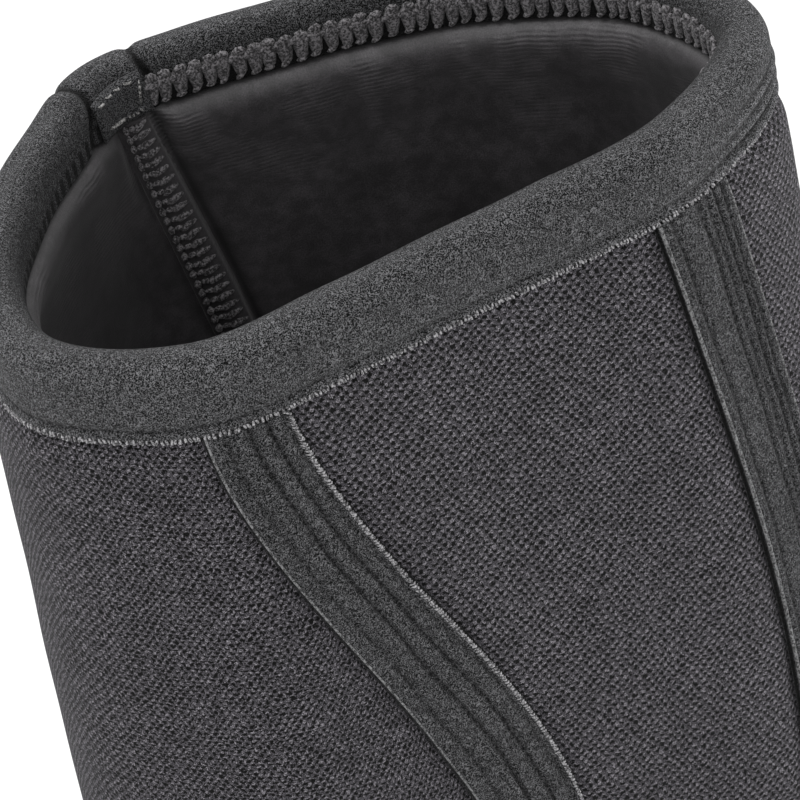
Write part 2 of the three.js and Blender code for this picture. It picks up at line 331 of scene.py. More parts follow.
def add(material, kind, inputs=(), out=0, **settings):
    """Adds a node with its settings and gives one of its outputs. The inputs are a tuple that
    fills them in order, or a dict by their names or numbers. A socket among them is linked."""
    tree = material.node_tree
    node = tree.nodes.new("ShaderNode" + kind)
    for key, value in settings.items():
        setattr(node, key, value)
    for key, value in (inputs if isinstance(inputs, dict) else dict(enumerate(inputs))).items():
        if isinstance(value, bpy.types.NodeSocket):
            tree.links.new(value, node.inputs[key])
        else:
            node.inputs[key].default_value = value
    return node.outputs[out] if node.outputs else None


def new_material(name):
    """A node material with no nodes in it yet."""
    material = bpy.data.materials.new(name)
    material.use_nodes = True
    material.node_tree.nodes.clear()
    return material


def finish_material(material, colour, height, bump, roughness, sheen, gloss=0.25):
    """Cloth: no metal, little specular, a sheen for the loose fibres, and a bump in metres."""
    relief = add(material, "Bump", {"Height": height, "Distance": bump, "Strength": 1.0})
    shader = add(material, "BsdfPrincipled", {
        "Base Color": colour, "Roughness": roughness, "IOR": 1.5, "Specular IOR Level": gloss,
        "Sheen Weight": sheen, "Sheen Roughness": 0.5, "Sheen Tint": (1, 1, 1, 1),
        "Normal": relief,
    })
    add(material, "OutputMaterial", {"Surface": shader})
    return material


def apply_painted_shading(material, tone, light, most):
    """A tone times a light. Painted shade darkens it where the piece's own field is above nought:
    along sewn lines, edges, gaps and creases, where shade falls. Painted highlight lightens it
    where the field is below nought: on raised folds, and in a band on the lining below the rim
    overlock."""
    tone = add(material, "VectorMath", {0: tone, "Scale": light}, **SCALED)
    painted_shading = add(material, "Attribute", out="Fac", attribute_name="painted_shading")
    drop = add(material, "Math", (painted_shading, most), **TIMES)
    keep = add(material, "Math", (1.0, drop), **MINUS)
    return add(material, "VectorMath", {0: tone, "Scale": keep}, **SCALED)


def pique_knit(name, lattice):
    """Nylon and polyester pique, warp knitted: staggered rows of small eyelets, near black with
    painted shade, between loops whose tops carry a painted highlight, with slight heather from
    yarn to yarn. The lattice holds the two wave vectors of the eyelets in turns per millimetre,
    0.7 to 1 eyelets a millimetre. An eyelet opens where the cosines of both waves and that of
    their difference peak together."""
    m = new_material(name)
    flat = add(m, "UVMap", uv_map="flat_mm")
    drift = add(m, "TexNoise", {"Vector": flat, "Scale": 0.16, "Detail": 2.0}, out="Color")
    drift = add(m, "VectorMath", (drift, (1.6, 1.6, 0), flat), **TIMES_PLUS)
    jitter = add(m, "TexNoise", {"Vector": flat, "Scale": 1.7, "Detail": 1.0}, out="Color")
    yarn = add(m, "VectorMath", (jitter, (1.5, 1.5, 0), drift), **TIMES_PLUS)
    turns = [add(m, "VectorMath", (yarn, (2 * math.pi * u, 2 * math.pi * v, 0)), out="Value",
                 operation="DOT_PRODUCT") for u, v in lattice]
    apart = add(m, "Math", turns, **MINUS)
    first, second, course = (add(m, "Math", (turn,), **COSINE) for turn in (*turns, apart))
    eyelet = add(m, "Math", (first, second), **PLUS)
    eyelet = add(m, "Math", (eyelet, add(m, "Math", (course, 0.6), **TIMES)), **PLUS)
    beside = [add(m, "Math", pair, **PLUS) for pair in zip(turns, (2.3, -1.4))]
    loop = add(m, "Math", [add(m, "Math", (turn,), **COSINE) for turn in beside], **PLUS)
    hole = add(m, "MapRange", (eyelet, 0.1, 0.95), **SOFT_STEP)
    crest = add(m, "MapRange", (loop, 0.2, 1.5), **SOFT_STEP)
    grain = add(m, "TexNoise", {"Vector": flat, "Scale": 5.0, "Detail": 1.0, "Roughness": 0.8})
    cloudy = add(m, "TexNoise", {"Vector": flat, "Scale": 0.05, "Detail": 3.0})
    colours = bpy.context.scene.sleeve_colours
    # Painted highlight on the loop tops, painted shade in the eyelets
    tone = add(m, "Mix", {0: crest, 6: (*colours.knit, 1), 7: (*colours.knit_crest_highlight, 1)}, **MIXED)
    tone = add(m, "Mix", {0: hole, 6: tone, 7: (*colours.knit_hole, 1)}, **MIXED)
    heather = add(m, "MapRange", (grain, 0.4, 0.6, 0.1, 1.9), **SOFT_STEP)
    cloud = add(m, "MapRange", (cloudy, 0.3, 0.7, 0.93, 1.07), **SOFT_STEP)
    light = add(m, "Math", (heather, cloud), **TIMES)
    tone = apply_painted_shading(m, tone, light, 0.85)
    rise = add(m, "Math", (add(m, "Math", (crest, 0.6), **TIMES), hole), **MINUS)
    rise = add(m, "Math", (rise, add(m, "Math", (grain, 0.6), **TIMES)), **PLUS)
    return finish_material(m, tone, rise, 0.0003, 0.85, 0.05, 0.1)


def fine_jersey():
    """Nylon jersey bonded to the foam inside, fine gauge: smooth, dark and slightly mottled, with
    hair-fine level ridges 0.9 mm apart near the upper rim, and a gloss where it turns to the
    light."""
    m = new_material("fine nylon jersey lining")
    flat = add(m, "UVMap", uv_map="flat_mm")
    sway = add(m, "TexNoise", {"Vector": flat, "Scale": 0.12, "Detail": 2.0})
    sway = add(m, "Math", (sway, 1.6), **TIMES)
    level = add(m, "Math", (add(m, "SeparateXYZ", (flat,), out="Y"), sway), **PLUS)
    turn = add(m, "Math", (level, 2 * math.pi / 0.9), **TIMES)
    ridge = add(m, "Math", (turn,), operation="SINE")
    patchy = add(m, "TexNoise", {"Vector": flat, "Scale": 0.07, "Detail": 3.0})
    grain = add(m, "TexNoise", {"Vector": flat, "Scale": 3.2, "Detail": 3.0, "Roughness": 0.75})
    mottle = add(m, "TexNoise", {"Vector": flat, "Scale": 0.3, "Detail": 3.0, "Roughness": 0.6})
    for limits in ((patchy, 0.45, 0.6), (level, HEIGHT - 40, HEIGHT - 15, 0.2, 1.0)):
        limit = add(m, "MapRange", limits, **SOFT_STEP)
        ridge = add(m, "Math", (ridge, limit), **TIMES)
    light = add(m, "MapRange", (grain, 0.3, 0.7, 0.55, 1.45), **SOFT_STEP)
    for limits in ((patchy, 0.35, 0.65, 0.8, 1.2), (mottle, 0.35, 0.65, 0.75, 1.25)):
        limit = add(m, "MapRange", limits, **SOFT_STEP)
        light = add(m, "Math", (light, limit), **TIMES)
    lining = tuple(bpy.context.scene.sleeve_colours.lining)
    tone = apply_painted_shading(m, lining, light, 0.95)
    ridge = add(m, "Math", (ridge, 0.4), **TIMES)
    rise = add(m, "Math", (ridge, add(m, "Math", (grain, 0.8), **TIMES)), **PLUS)
    return finish_material(m, tone, rise, 0.00008, 0.5, 0.1, 0.6)


def fine_fold(colour):
    """The lining folded over in the back seam: the same fine jersey, drawn tight."""
    m = new_material("folded nylon jersey of the back seam")
    where = add(m, "TexCoord", out="Object")
    grain = add(m, "TexNoise", {"Vector": where, "Scale": 2400.0, "Detail": 2.0})
    light = add(m, "MapRange", (grain, 0.3, 0.7, 0.85, 1.15), **SOFT_STEP)
    tone = add(m, "VectorMath", {0: tuple(colour), "Scale": light}, **SCALED)
    return finish_material(m, tone, grain, 0.00008, 0.85, 0.2)


def brushed_cloth(name, colour, bright, contrast, sheen):
    """Brushed nylon tape, napped on one face: a mat of short loose fibres, drawn as salt and
    pepper specks about 0.2 mm across, coarser than real fibres so that they show, in clumps about
    0.7 mm across, with a faint sheen at the edges."""
    m = new_material(name)
    where = add(m, "TexCoord", out="Object")
    speck = add(m, "TexNoise", {"Vector": where, "Scale": 4400.0, "Detail": 1.0, "Roughness": 0.8})
    clump = add(m, "TexNoise", {"Vector": where, "Scale": 1500.0, "Detail": 2.0})
    cloudy = add(m, "TexNoise", {"Vector": where, "Scale": 60.0, "Detail": 3.0})
    share = add(m, "MapRange", (speck, 0.46, 0.56), **SOFT_STEP)
    tone = add(m, "Mix", {0: share, 6: colour, 7: bright}, **MIXED)
    light = add(m, "MapRange", (clump, 0.3, 0.7, 1 - contrast, 1 + contrast), **SOFT_STEP)
    cloud = add(m, "MapRange", (cloudy, 0.3, 0.7, 0.93, 1.07), **SOFT_STEP)
    light = add(m, "Math", (light, cloud), **TIMES)
    tone = apply_painted_shading(m, tone, light, 0.96)
    rise = add(m, "Math", (speck, add(m, "Math", (clump, 1.2), **TIMES)), **PLUS)
    return finish_material(m, tone, rise, 0.00032, 0.95, sheen, 0.1)


def spun_thread(name, colour):
    """Textured polyester thread: soft, matte and slightly hairy, with a fine uneven twist."""
    m = new_material(name)
    where = add(m, "TexCoord", out="Object")
    speck = add(m, "TexNoise", {"Vector": where, "Scale": 2200.0, "Detail": 2.0, "Roughness": 0.7})
    light = add(m, "MapRange", (speck, 0.4, 0.62, 0.25, 2.0), **SOFT_STEP)
    tone = add(m, "VectorMath", {0: tuple(colour), "Scale": light}, **SCALED)
    return finish_material(m, tone, speck, 0.0005, 0.8, 0.15, 0.1)


def painted_board():
    """Matte white painted board for the sleeve to stand on: even, with a trace of roller
    stipple."""
    m = new_material("matte white painted board")
    where = add(m, "TexCoord", out="Object")
    stipple = add(m, "TexNoise", {"Vector": where, "Scale": 400.0, "Detail": 2.0})
    return finish_material(m, (0.86, 0.86, 0.86, 1), stipple, 0.00005, 0.7, 0.0)


def size(name, description, default, least):
    """A length that a user may change, in metres."""
    return FloatProperty(name=name, description=description, default=default, min=least,
                         unit="LENGTH", subtype="DISTANCE")


def colour(name, description, code):
    """A colour that a user may change, from its hex code."""
    return FloatVectorProperty(name=name, description=description, subtype="COLOR",
                               default=linear(code))


class SleeveSizes(PropertyGroup):
    """Sizes of what is sewn onto the walls."""

    edge_pitch: size("Edge stitch pitch", "From one whip stitch of an edge to the next",
                     0.0007, 0.0003)
    rung_pitch: size("Rim overlock pitch", "From one rung inside a rim to the next", 0.0029, 0.001)
    seam_pitch: size("Back seam pitch", "From one loop of the back seam to the next",
                     0.0022, 0.001)
    billow: size("Billow", "Height of the low waves in the foam walls", 0.0003, 0.0)


class SleeveColours(PropertyGroup):
    """Colours of the cloths and the threads."""

    knit: colour("Knit", "Pique knit", 0x424044)
    # The crest colour is a painted highlight on the loop tops, and the eyelet colour is painted
    # shade
    knit_crest_highlight: colour("Knit crest", "Tops of the knit's loops", 0x706D72)
    knit_hole: colour("Knit eyelet", "Eyelets of the knit", 0x040404)
    lining: colour("Lining", "Jersey lining", 0x373537)
    binding: colour("Binding", "Brushed binding", 0x040404)
    tape: colour("Tape", "Brushed seam tape", 0x030303)
    nap: colour("Nap", "Fibre ends of the brushed cloths", 0x676769)
    thread: colour("Edge thread", "Thread of the whipped edges", 0x868587)
    overlock: colour("Overlock thread", "Thread inside the rims and the back seam", 0x5B595B)


def millimetres(value):
    """A length in metres as millimetres."""
    return value * 1000.0


def rounded_half(distance, flat):
    """Half the wall near a rounded end: a quarter circle whose radius is what the flat leaves."""
    radius = (WALL - flat) / 2
    into = np.maximum(radius - distance, 0)
    return flat / 2 + np.sqrt(np.maximum(radius**2 - into**2, 0))


def crowd(count, ends):
    """Shares from 0 to 1 that crowd at both ends: a straight line less a full sine wave."""
    t = np.arange(count + 1) / count
    return t - ends * np.sin(2 * np.pi * t) / (2 * np.pi)


def tape_distance(side, share, height):
    """Millimetres across from the middle of a tape, measured square to the tape."""
    across = (share - seam_share(side, height) + 0.5) % 1.0 - 0.5
    return across * girth(height) / seam_slant(side, height)


def wall_piece(name, start, end, columns, middle, knit, lining, billow):
    """One wall: a closed strip whose outer and inner faces are grids over share and height. The
    faces stand half the wall's thickness off its middle, rounded off at the rims, with low waves,
    a dip along every sewn edge and, inside, a swelling below the rim's overlock."""
    near = np.concatenate([np.linspace(4.6, 9.2, 5), np.linspace(9.6, 13.2, 10),
                           np.linspace(13.8, 17.4, 11)])
    rows = np.concatenate([
        RIM_INSET + np.array([0, 0.16, 0.6, 1.2, 2.4]), near, np.linspace(18, HEIGHT - 18, 196),
        HEIGHT - near[::-1], HEIGHT - RIM_INSET - np.array([2.9, 1.86, 0.93, 0.25, 0]),
    ])[:, None]
    t = crowd(columns, 0.8)[None]
    gap = SEAM_GAP / 2 / girth(rows)
    first = seam_share(start, rows) + gap * seam_slant(start, rows)
    last = seam_share(end, rows) - gap * seam_slant(end, rows)
    last = np.where(last > first, last, last + 1)
    share = first + (last - first) * t
    height = np.broadcast_to(rows, share.shape)
    around = (share - middle) * girth(height)
    from_rim = np.minimum(HEIGHT - height, height)
    half = np.minimum(rounded_half(height - RIM_INSET, LOWER_FLAT),
                      rounded_half(HEIGHT - height - RIM_INSET, UPPER_FLAT))
    bare = smooth(from_rim, OUTER_LEG, OUTER_LEG + 4)
    right_of_band = tape_distance("back", share, height)
    back = np.abs(right_of_band)
    outer = half + billow * bare * waves(around, height, 3, 60)
    outer -= 0.45 * bump_at(from_rim, OUTER_LEG + 0.5, 1.1)
    outer -= 1.0 * bump_at(back, 0, 1.1)
    for side in TAPES:
        across = tape_distance(side, share, height)
        edge = np.abs(across) - tape_half(side, height)
        outer -= bare * billow * smooth(-edge, -2, 0) * 1.1
        outer -= 0.35 * bare * bump_at(edge, 0.5, 0.8)
    below = from_rim - INNER_LEG
    away = smooth(back, 4.5, 9)
    under = np.maximum(below, 0)
    swelling = 6.2 * (1 - np.exp(-under / 4.0)) * np.exp(-under / 11.0) * (0.35 + 0.65 * away)
    inner = half + swelling + billow * smooth(below, 2, 10) * waves(around, height, 5, 45)
    inner -= 0.9 * smooth(below, 0, 3) * bump_at(right_of_band, -5.0, 0.9)
    inner -= 0.5 * smooth(below, 0, 3) * bump_at(right_of_band, 4.4, 0.7)
    inner -= 0.5 * bump_at(below, 0.3, 0.6)
    # Painted shade on the knit: a dark line just below the binding's edge, where the cloth dives
    # under it, and one along the back seam
    painted_shading_out = 0.9 * bump_at(from_rim, OUTER_LEG + 0.35, 0.45) + 0.7 * bump_at(back, 0, 0.9)
    # Painted shade on the lining: a dark line just below the rim overlock, and one beside the back
    # seam's band
    painted_shading_in = bump_at(below, 0.35, 0.5)
    painted_shading_in += 0.8 * smooth(below, 0, 1) * bump_at(right_of_band, -5.0, 0.8)
    # Painted highlight: a lighter band on the lining below the rungs, away from the back seam; and
    # painted shade where the binding reaches down over the rungs
    shown = 0.2 + 0.8 * rung_length(share, height > HEIGHT / 2)
    painted_shading_in -= 0.75 * shown * away * smooth(below, 0.5, 1.3) * np.exp(-under / 3.0)
    painted_shading_in += 0.35 * (1 - shown) * smooth(below, 0.0, 3.0)
    points = both_faces(place(share, height, outer), place(share, height, -inner))
    flat = np.stack([around, height], -1)
    ring, across = points.shape[1], t.shape[1]
    slots = np.tile((np.arange(ring) >= across - 1) & (np.arange(ring) < ring - 1), len(rows) - 1)
    slots = np.concatenate([slots, np.ones(2 * (across - 1), bool)])
    return add_piece(name, points, strip_faces(len(rows), across), [knit, lining],
                     both_faces(flat, flat), slots, {"painted_shading": both_faces(painted_shading_out, painted_shading_in)})


class SLEEVE_OT_walls(Operator):
    """Builds the three foam walls with their knit outside and jersey inside"""

    bl_idname = "sleeve.walls"
    bl_label = "Walls"

    def execute(self, context):
        billow = millimetres(context.scene.sleeve_sizes.billow)
        lining = fine_jersey()
        cross = ((0.35, -0.58), (0.70, 0.40))
        turned = ((0.72, -0.53), (0.88, 0.50))
        knit = pique_knit("pique knit of the front and right walls", cross)
        left_knit = pique_knit("pique knit of the left wall", turned)
        table = (
            ("left_wall", "left_panel", "back", "left", 104, 0.45, left_knit),
            ("front_wall", "front_panel", "left", "right", 70, 0.70, knit),
            ("right_wall", "right_panel", "right", "back", 130, 1.05, knit),
        )
        for name, node, start, end, columns, middle, cloth in table:
            piece = wall_piece(name, start, end, columns, middle, cloth, lining, billow)
            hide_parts(node)
        return {"FINISHED"}


# The creases beside the join of the upper binding, in millimetres round from the back seam
CREASES = (-7.4, 11.2)


def crease_place(which, down, side):
    """Where a crease lies at a distance down from the rim, inside or outside. Inside, the right one
    slants away downwards, and the left one comes from further right at the crown."""
    if which == 0:
        return CREASES[0] - 0.32 * down * (side < 0)
    return CREASES[1] - 3.4 * np.where(side < 0, np.clip((8 - down) / 8, 0, 1), 1.0)


def puff(around, down, side):
    """How far the upper binding stands off near its join: raised between and beside the creases,
    pinched in at them, and fading out by 24 mm."""
    fade = 1 - smooth(np.abs(around), 9, 20)
    pinch = sum(bump_at(around, crease_place(k, down, side), 1.2) for k in (0, 1))
    return 0.1 * fade * (1 - pinch) - np.where(side > 0, 0.6, 0.95) * pinch


def binding_profile(half, inset, flat, outer_steps, round_steps, inner_steps):
    """The skin of a binding in section from its outer edge over the crown to its inner edge: a
    straight leg, a quarter circle, the flat, a quarter circle and a straight leg. Gives how far
    out and how far down each point lies, and its normal."""
    radius = half - flat / 2
    turn = np.linspace(0, np.pi / 2, round_steps)
    cos, sin = np.cos(turn), np.sin(turn)
    leg = OUTER_LEG - crowd(outer_steps, 0.7)[:-1] * (OUTER_LEG - inset - radius)
    inner = inset + radius + crowd(inner_steps, 0.6)[1:] * (INNER_LEG - inset - radius)
    side = np.concatenate([np.ones(len(leg)), cos, -cos[::-1], -np.ones(len(inner))])
    up = np.concatenate([0 * leg, sin, sin[::-1], 0 * inner])
    out = np.sign(side) * (half - radius) + radius * side
    crown = inset + radius * (1 - sin)
    return out, np.concatenate([leg, crown, crown[::-1], inner]), side, up


def rung_length(share, at_top):
    """How much of its full length a rung of the rim overlock has: all of it, but nothing from the
    back seam round the left inside the upper rim, where the binding reaches down over it."""
    return 1 - smooth(share, 0.27, 0.29) * (1 - smooth(share, 0.48, 0.52)) * at_top


def binding_piece(name, at_top, cloth):
    """A folded binding: its section carried round the rim. Its outer face has a sewn groove near
    the edge, sine folds along it where it is turned hard, a slack edge, and the creases by its
    join.
    Painted shade darkens the groove, the edge, the fold valleys, the creases and the whole inside
    face, and painted highlight lightens the fold crests. Inside there is painted shade behind the
    rungs, and painted dark slots where it covers them. The under skin follows 0.8 mm behind."""
    flat = UPPER_FLAT if at_top else LOWER_FLAT
    outer = binding_profile(BINDING_SKIN, 0, flat, 26, 12, 12)
    under = binding_profile(SKIN, BINDING_CLOTH, flat, 6, 6, 4)
    rim = HEIGHT if at_top else 0.0
    columns = 780 if at_top else 520
    share = np.arange(columns)[:, None] / columns
    around = round_from_back(share, rim)
    turned_hard = bump_at(share, 0.9, 0.05) + 0.5 * bump_at(share, 0.39, 0.07)
    bare = rung_length(share, at_top)
    reach = 7.7 + 1.7 * smooth(share, 0.31, 0.42)
    slots = smooth(np.cos(2 * np.pi * around / 2.9), -0.4, 0.5)
    groove_shade = 0.6 + 0.4 * np.cos(2 * np.pi * around / 1.9)
    strong = 0.5 + 0.5 * bump_at(share, 0.5, 0.16)
    rings, fields = [], []
    for (out, down, side, up), fine in ((outer, 1.0), (under, 0.0)):
        out, down, side, up = (v[None] for v in (out, down, side, up))
        sway = waves(around * np.ones_like(down), down, 11, 30)
        leg = side > 0.5
        lift = 0.1 * sway
        lift -= leg * 0.5 * bump_at(down, OUTER_LEG - GROOVE, 0.6)
        lift += leg * 0.22 * bump_at(down, OUTER_LEG - 6.5, 3.2)
        lift -= leg * 0.45 * smooth(down, OUTER_LEG - 0.8, OUTER_LEG)
        ridges = np.sin(2 * np.pi * (down + 1.65 + 0.6 * sway) / FOLD_PITCH)
        folded = turned_hard * smooth(down, 5.0, 7.5) * leg
        lift += 0.4 * folded * ridges
        lift = fine * lift + (puff(around, down, side) if at_top else 0.0) * (0.5 + 0.5 * fine)
        lift = np.maximum(lift, -0.62 if fine else -0.05)
        depth = down + binding_slack(around) * smooth(down, 9, OUTER_LEG) * (side > 0)
        height = HEIGHT - depth if at_top else depth
        rise = lift * up * (1 if at_top else 0)
        rings.append(place(share, height, out + lift * side, rise))
        # Painted shade: dark dots along the sewn groove
        painted_shading = leg * groove_shade * strong * 0.9 * bump_at(down, OUTER_LEG - GROOVE, 0.38)
        # Painted shade on the inner leg, seen between the rungs
        inner_leg_shade = np.clip((down - 9.9 + 3.6 * bare) / np.maximum(1.8 * bare, 0.4), 0, 1)
        inner_leg_shade *= (bare > 0.5)
        painted_shading += (side < -0.5) * 0.9 * inner_leg_shade**2 * (3 - 2 * inner_leg_shade)
        # Painted shade where the outer edge tucks under, and over the whole inside face
        painted_shading += leg * 0.8 * smooth(down, OUTER_LEG - 0.35, OUTER_LEG)
        painted_shading += 0.48 * smooth(-side, -0.1, 0.9)
        # Painted shade in the fold valleys, painted highlight on the fold crests
        dark, light = (0.5 - 0.5 * ridges) ** 2, (0.5 + 0.5 * ridges) ** 2
        painted_shading += folded * (0.8 * dark - 0.7 * light)
        # Painted shade in slots where the binding reaches down over the rungs
        covered = (1 - bare) * (side < -0.5)
        painted_shading += covered * smooth(down, reach - 1.0, reach - 0.3) * slots
        # Painted shade in the creases by the join
        if at_top:
            creases = (bump_at(around, crease_place(k, down, side), 0.8) for k in (0, 1))
            painted_shading += sum(0.95 * crease for crease in creases)
        fields.append(np.clip(painted_shading * fine + 0 * rise, -0.7, 1))
    points = both_faces(*rings)
    faces = grid_faces(points.shape[0], points.shape[1], True, True)
    return add_piece(name, points, faces, [cloth], fields={"painted_shading": both_faces(*fields)})


class SLEEVE_OT_bindings(Operator):
    """Builds the folded brushed bindings over both rims"""

    bl_idname = "sleeve.bindings"
    bl_label = "Bindings"

    def execute(self, context):
        colours = context.scene.sleeve_colours
        cloth = brushed_cloth("brushed nylon binding", (*colours.binding, 1), (*colours.nap, 1),
                              contrast=0.42, sheen=0.05)
        for name, node, at_top in (("upper_rim_binding", "upper_binding", True),
                                   ("lower_rim_binding", "lower_binding", False)):
            piece = binding_piece(name, at_top, cloth)
            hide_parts(node)
        return {"FINISHED"}


def tape_piece(name, side, cloth):
    """A tape sewn flat over a seam: rows up the seam, columns across it. Its face is 0.9 mm
    proud, rolls down at both edges into a narrow gutter as a quarter circle, and has sewn lines
    pinched at each stitch. The gutters and the sewn lines are darkened by painted shade."""
    low = OUTER_LEG + CLEARANCE - 0.2
    rows = np.linspace(low, HEIGHT - low, 300)[:, None]
    t = crowd(64, 0.35)[None] * 2 - 1
    half = tape_half(side, rows)
    across = t * (half + GUTTER)
    heavy = TAPES[side][2]
    run = rows * 1.06
    past = np.abs(across) - half
    roll = np.clip((past + 0.8) / 0.8, 0, 1)
    face = 0.1 + 0.8 * np.sqrt(np.clip(1 - roll**2, 0, 1)) - 0.22 * smooth(past, 0, GUTTER)
    # Painted shade in the gutters at both edges, deeper beside the heavier edge
    painted_shading = smooth(past, -0.1, 0.15) * np.where(across * heavy > 0, 1.0, 0.75)
    for k, (spot, deep) in enumerate(SEWN_LINES[side]):
        pinch = 0.6 + 0.4 * np.cos(2 * np.pi * (run / 2.1 + 0.37 * k))
        hold = deep * (0.3 + 0.7 * pinch)
        wander = 0.14 * np.sin(2 * np.pi * rows / 31 + k)
        line = across - heavy * spot * half - wander
        face -= 0.6 * hold * bump_at(line, 0, 0.5)
        face += 0.2 * deep * bump_at(line, 1.1 * heavy, 0.7)
        # Painted shade along each sewn line, deepest at each stitch
        painted_shading += hold * bump_at(line, 0, 0.4)
    face += 0.07 * waves(across * 2, rows, 23, 22)
    share = beside_seam(side, rows, across)
    height = np.broadcast_to(rows, share.shape)
    outer = place(share, height, SKIN + np.maximum(face, -0.15))
    painted_shading = both_faces(np.clip(painted_shading, 0, 1), np.zeros_like(painted_shading))
    return add_piece(name, both_faces(outer, place(share, height, SKIN - 0.45)),
                     strip_faces(*share.shape), [cloth], fields={"painted_shading": painted_shading})


def cord_piece(name, side, edge, radius, thread):
    """A cord laid along one edge of a tape: a circle carried up the seam at that edge."""
    low = OUTER_LEG + CLEARANCE
    rows = np.linspace(low, HEIGHT - low, 420)[:, None]
    angle = np.arange(8)[None] / 8 * 2 * np.pi
    across = edge * (tape_half(side, rows) - radius * 0.6) + radius * np.cos(angle)
    share = beside_seam(side, rows, across)
    height = np.broadcast_to(rows, share.shape)
    points = place(share, height, SKIN + 0.62 + radius * np.sin(angle))
    last = (len(rows) - 1) * 8
    ends = np.array([[0, 1, 2, 3], [0, 3, 4, 7], [7, 4, 5, 6]])
    skin = grid_faces(len(rows), 8, close_columns=True)
    faces = np.concatenate([skin, ends[:, ::-1], last + ends])
    return add_piece(name, points, faces, [thread])


class SLEEVE_OT_tapes(Operator):
    """Builds the brushed tapes over the two front seams"""

    bl_idname = "sleeve.tapes"
    bl_label = "Seam tapes"

    def execute(self, context):
        colours = context.scene.sleeve_colours
        nap = [0.83 * c for c in colours.nap]
        cloth = brushed_cloth("brushed nylon seam tape", (*colours.tape, 1), (*nap, 1),
                              contrast=0.5, sheen=0.04)
        for side, walls in (("left", ["left_wall", "front_wall"]),
                            ("right", ["front_wall", "right_wall"])):
            piece = tape_piece(f"{side}_tape", side, cloth)
            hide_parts(f"{side}_seam_tape")
        thread = spun_thread("folded edge of the tape", (0.13, 0.13, 0.132))
        for name, side, edge, radius in (("left_tape_left_cord", "left", -1, 0.2),
                                         ("right_tape_left_cord", "right", -1, 0.34),
                                         ("right_tape_right_cord", "right", 1, 0.22)):
            cord_piece(name, side, edge, radius, thread)
        return {"FINISHED"}


def capsule(path, radius, sides=6):
    """A short thread as a tube: each ring is a circle square to the path, drawn in at both ends.
    The path has columns round, up and out, in millimetres. Points and faces come back."""
    path = np.asarray(path, float)
    ahead = np.gradient(path, axis=0)
    ahead /= np.linalg.norm(ahead, axis=1, keepdims=True)
    side = np.cross(ahead, [0.0, 0.0, 1.0])
    side /= np.maximum(np.linalg.norm(side, axis=1, keepdims=True), 1e-6)
    over = np.cross(side, ahead)
    t = np.linspace(0, 1, len(path))
    radius = np.asarray(radius) * np.sqrt(np.clip(1 - (2 * t - 1) ** 6, 0.06, 1))
    angle = np.arange(sides) / sides * 2 * np.pi
    across, up = np.cos(angle)[None, :, None], np.sin(angle)[None, :, None]
    ring = side[:, None] * across + over[:, None] * up
    points = path[:, None] + ring * radius[:, None, None]
    faces = grid_faces(len(path), sides, close_columns=True)
    last = (len(path) - 1) * sides
    caps = np.array([[3, 2, 1, 0], [5, 4, 3, 0]])
    return points.reshape(-1, 3), np.concatenate([faces, caps, last + caps[:, ::-1]])


def repeat(shape, share, height, out, tall=1.0, lean=0.0, inside=False):
    """Copies of a small shape laid on the sleeve: each point's round, up and out are added to a
    copy's own place, and the sum is wrapped onto the wall. All copies are one array. A copy turned
    upside down has its faces turned round."""
    points, faces = shape
    if np.min(tall) < 0:
        faces = faces[:, ::-1]
    share, height, out, tall, lean = (
        np.asarray(value, float).ravel()[:, None]
        for value in np.broadcast_arrays(share, height, out, tall, lean))
    u, v, w = points[None, :, 0], points[None, :, 1] * tall, points[None, :, 2]
    sign = -1.0 if inside else 1.0
    turned = u * np.cos(lean) - v * np.sin(lean)
    level = height + u * np.sin(lean) + v * np.cos(lean)
    where = place(share + turned / girth(level), np.clip(level, 0.5, HEIGHT - 0.5),
                  sign * (out + w))
    count = len(share)
    copies = faces[None] + (np.arange(count) * points.shape[0])[:, None, None]
    return where.reshape(-1, 3), copies.reshape(-1, 4)


def joined(parts):
    """Several sets of points and faces as one."""
    points, faces, start = [], [], 0
    for p, f in parts:
        points.append(p)
        faces.append(f + start)
        start += len(p)
    return np.concatenate(points), np.concatenate(faces)


# One slanted whip stitch over an edge
WHIP = capsule([(-0.2, -0.75, -0.35), (-0.08, -0.35, 0.1), (0.08, 0.15, 0.2), (0.24, 0.7, -0.1)],
               0.23)


class SLEEVE_OT_edge_stitches(Operator):
    """Whips the outer edges of the bindings and one edge of the left tape with slanted stitches"""

    bl_idname = "sleeve.edge_stitches"
    bl_label = "Edge stitches"

    def execute(self, context):
        pitch = millimetres(context.scene.sleeve_sizes.edge_pitch)
        thread = spun_thread("textured polyester edge thread", context.scene.sleeve_colours.thread)
        rng = np.random.default_rng(41)
        for name, rim, edge in (("upper_edge_stitches", HEIGHT, HEIGHT - OUTER_LEG),
                                ("lower_edge_stitches", 0.0, OUTER_LEG)):
            count = int(girth(edge) / pitch)
            share = (np.arange(count) + rng.uniform(-0.25, 0.25, count)) / count
            slack = binding_slack(round_from_back(share, rim))
            sign = 1 if rim else -1
            height = edge - sign * slack + sign * rng.uniform(0.1, 0.45, count)
            lean = 0.5 + rng.uniform(-0.4, 0.4, count)
            tucked = 0.45 * bump_at(share, 0.91, 0.035)
            parts = repeat(WHIP, share, height,
                           BINDING_SKIN - 0.15 - tucked + rng.uniform(-0.1, 0.12, count),
                           lean=lean)
            piece = add_piece(name, *parts, [thread])
        along = np.arange(OUTER_LEG + 0.6, HEIGHT - OUTER_LEG - 0.6, pitch * 0.95)
        n = len(along)
        height = along + rng.uniform(-0.15, 0.15, n)
        share = beside_seam("left", height, tape_half("left", height) - 0.4)
        lean = seam_tilt("left", height) + 1.15 + rng.uniform(-0.25, 0.25, n)
        parts = repeat(WHIP, share, height, SKIN + 0.82 + rng.uniform(-0.06, 0.1, n), lean=lean)
        piece = add_piece("left_tape_stitches", *parts, [thread])
        return {"FINISHED"}


